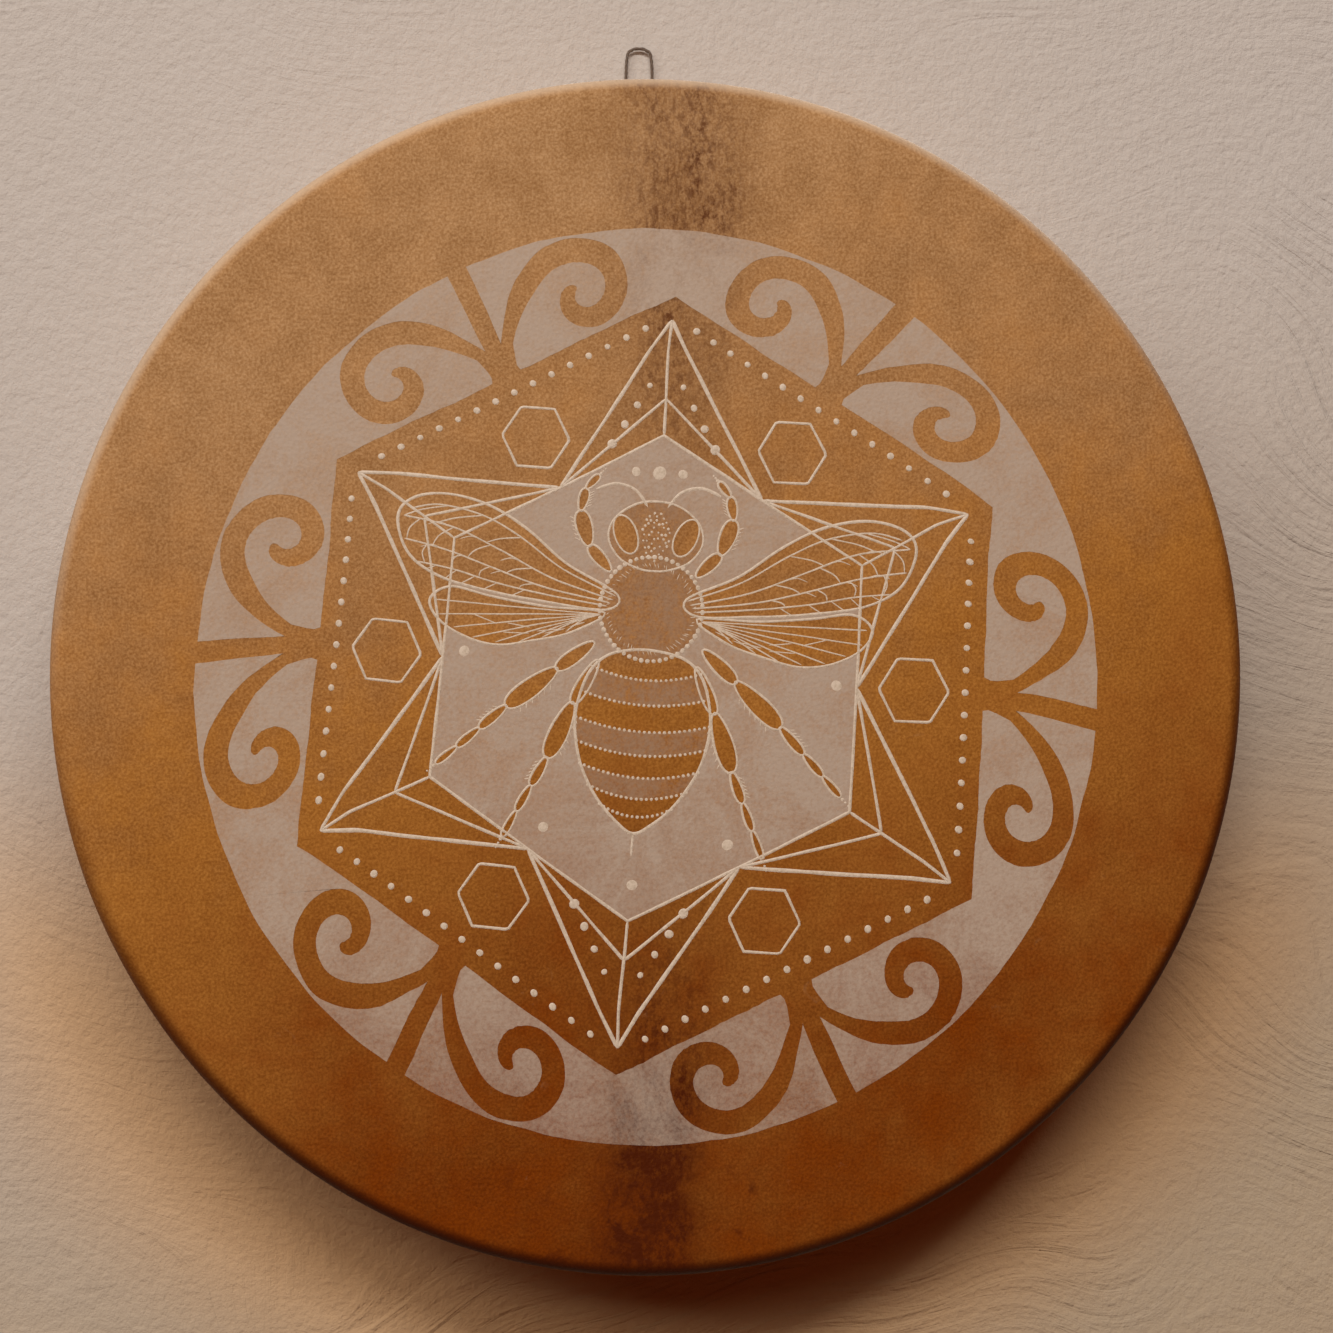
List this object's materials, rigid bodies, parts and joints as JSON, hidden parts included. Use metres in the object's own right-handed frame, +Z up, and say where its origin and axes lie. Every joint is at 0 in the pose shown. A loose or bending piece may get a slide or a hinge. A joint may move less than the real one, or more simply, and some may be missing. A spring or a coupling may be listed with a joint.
{
  "type": "frame drum",
  "caption": "Round hand drum: a rawhide head stretched over a bent-wood hoop and laced behind to a steel grip ring, with a thin cord loop to hang it by.",
  "frame": {"origin": "centre of the playing face, on the outside of the hide", "axes": "the playing face looks along -Y and the drum lies behind it at +Y; +Z is up as the drum hangs, towards the hanging loop"},
  "size_m": [0.4056, 0.0665, 0.4284],
  "materials": {
    "hide": "amber rawhide, fine pebbled grain, dull sheen",
    "wood": "oiled bent wood",
    "lace": "dry rawhide thong",
    "steel": "welded wire ring, lightly tarnished",
    "wrap_leather": "dark brown leather strip",
    "cord": "waxed cord"
  },
  "bodies": {
    "drum": {"drum_head": "hide", "hoop": "wood", "grip_ring": "steel", "lace_01": "lace", "lace_02": "lace", "lace_03": "lace", "lace_04": "lace", "lace_05": "lace", "lace_06": "lace", "lace_07": "lace", "lace_08": "lace", "lace_09": "lace", "lace_10": "lace", "lace_11": "lace", "lace_12": "lace", "lace_13": "lace", "lace_14": "lace", "lace_15": "lace", "lace_16": "lace", "ring_wrap_1": "wrap_leather", "ring_wrap_2": "wrap_leather", "ring_wrap_3": "wrap_leather", "ring_wrap_4": "wrap_leather"},
    "loop": {"hanging_loop": "cord"}
  },
  "joints": [
    {"name": "loop_swing", "type": "hinge", "parent": "drum", "child": "loop", "pos_m": [0, 0.054, 0.11], "axis": [-1, 0, 0], "range_deg": [0, 150]}
  ]
}
